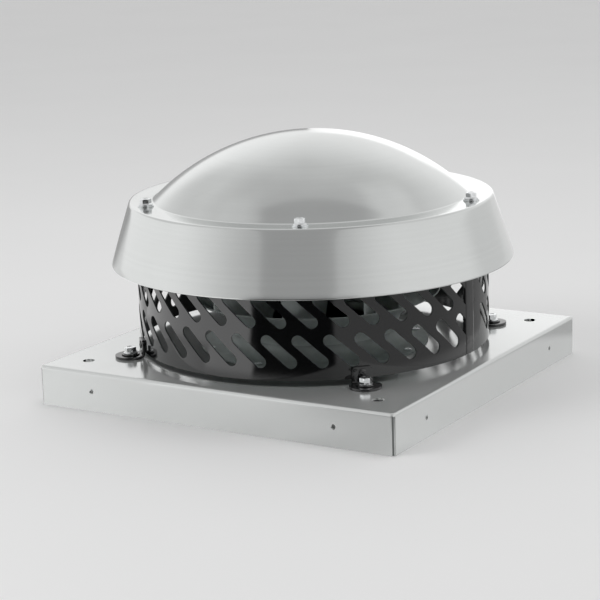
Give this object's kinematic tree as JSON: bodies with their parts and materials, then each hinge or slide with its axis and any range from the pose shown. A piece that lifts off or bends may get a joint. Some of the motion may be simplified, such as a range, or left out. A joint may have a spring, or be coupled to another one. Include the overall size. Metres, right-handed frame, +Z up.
{
  "type": "centrifugal roof fan",
  "caption": "Round roof fan with a domed cowl over a slotted guard ring, on a square base plate, with an external-rotor motor and a backward-curved impeller.",
  "frame": {"origin": "centre of the base plate's underside, on the plane that the plate's rim stands on", "axes": "+Z up along the impeller's axis, +X and +Y square to the base plate's sides"},
  "size_m": [0.4069, 0.407, 0.2564],
  "materials": {
    "cowl_paint": "gloss powder coat, light grey",
    "plate_paint": "gloss powder coat, light grey",
    "guard_paint": "gloss powder coat, black",
    "zinc": "bright zinc plating",
    "galvanised": "galvanised sheet",
    "impeller_sheet": "mill finish",
    "motor_alloy": "die cast, bead blasted",
    "rotor_paint": "satin black",
    "bearing_steel": "ground and polished",
    "cage_brass": "pressed",
    "lamination": "varnished laminations",
    "copper": "enamelled copper",
    "box_plastic": "moulded, fine texture",
    "capacitor_can": "moulded, off-white",
    "black_rubber": "matt"
  },
  "bodies": {
    "housing": {"base_plate": "plate_paint", "inlet_nozzle": "galvanised", "nozzle_rivets": "zinc", "guard_ring": "guard_paint", "lug_front": "guard_paint", "lug_right": "guard_paint", "lug_back": "guard_paint", "lug_left": "guard_paint", "lug_rivets": "guard_paint", "lug_washers": "guard_paint", "lug_bolts": "zinc", "lug_nuts": "zinc", "motor_plate": "galvanised", "cowl": "cowl_paint", "cowl_washers": "zinc", "cowl_bolts": "zinc", "cowl_nuts": "zinc", "stator_flange": "motor_alloy", "motor_screws": "zinc", "stator_stack": "lamination", "windings": "copper", "lower_outer_race": "bearing_steel", "upper_outer_race": "bearing_steel", "spring_washer": "bearing_steel", "terminal_box": "box_plastic", "terminal_lid": "box_plastic", "lid_screws": "zinc", "cable_gland": "box_plastic", "capacitor": "capacitor_can", "capacitor_clamp": "galvanised", "plate_screws": "zinc", "grommet": "black_rubber", "motor_lead": "black_rubber"},
    "rotor": {"rotor_bell": "rotor_paint", "rotor_core": "lamination", "shaft": "bearing_steel", "retaining_ring": "bearing_steel", "lower_inner_race": "bearing_steel", "upper_inner_race": "bearing_steel", "impeller_back": "impeller_sheet", "impeller_shroud": "impeller_sheet", "impeller_screws": "zinc", "blade_1": "impeller_sheet", "blade_2": "impeller_sheet", "blade_3": "impeller_sheet", "blade_4": "impeller_sheet", "blade_5": "impeller_sheet", "blade_6": "impeller_sheet", "blade_7": "impeller_sheet", "blade_8": "impeller_sheet", "blade_9": "impeller_sheet", "blade_10": "impeller_sheet"},
    "lower_ball_set": {"lower_balls": "bearing_steel", "lower_cage": "cage_brass"},
    "upper_ball_set": {"upper_balls": "bearing_steel", "upper_cage": "cage_brass"}
  },
  "joints": [
    {"name": "impeller_spin", "type": "hinge", "parent": "housing", "child": "rotor", "pos_m": [0, 0, 0.14], "axis": [0, 0, 1], "continuous": true},
    {"name": "lower_cage_spin", "type": "hinge", "parent": "housing", "child": "lower_ball_set", "pos_m": [0, 0, 0.119], "axis": [0, 0, 1], "continuous": true},
    {"name": "upper_cage_spin", "type": "hinge", "parent": "housing", "child": "upper_ball_set", "pos_m": [0, 0, 0.1735], "axis": [0, 0, 1], "continuous": true}
  ],
  "couplings": [
    {"joint": "lower_cage_spin", "follows": "impeller_spin", "ratio": 0.3682},
    {"joint": "upper_cage_spin", "follows": "impeller_spin", "ratio": 0.3682}
  ]
}
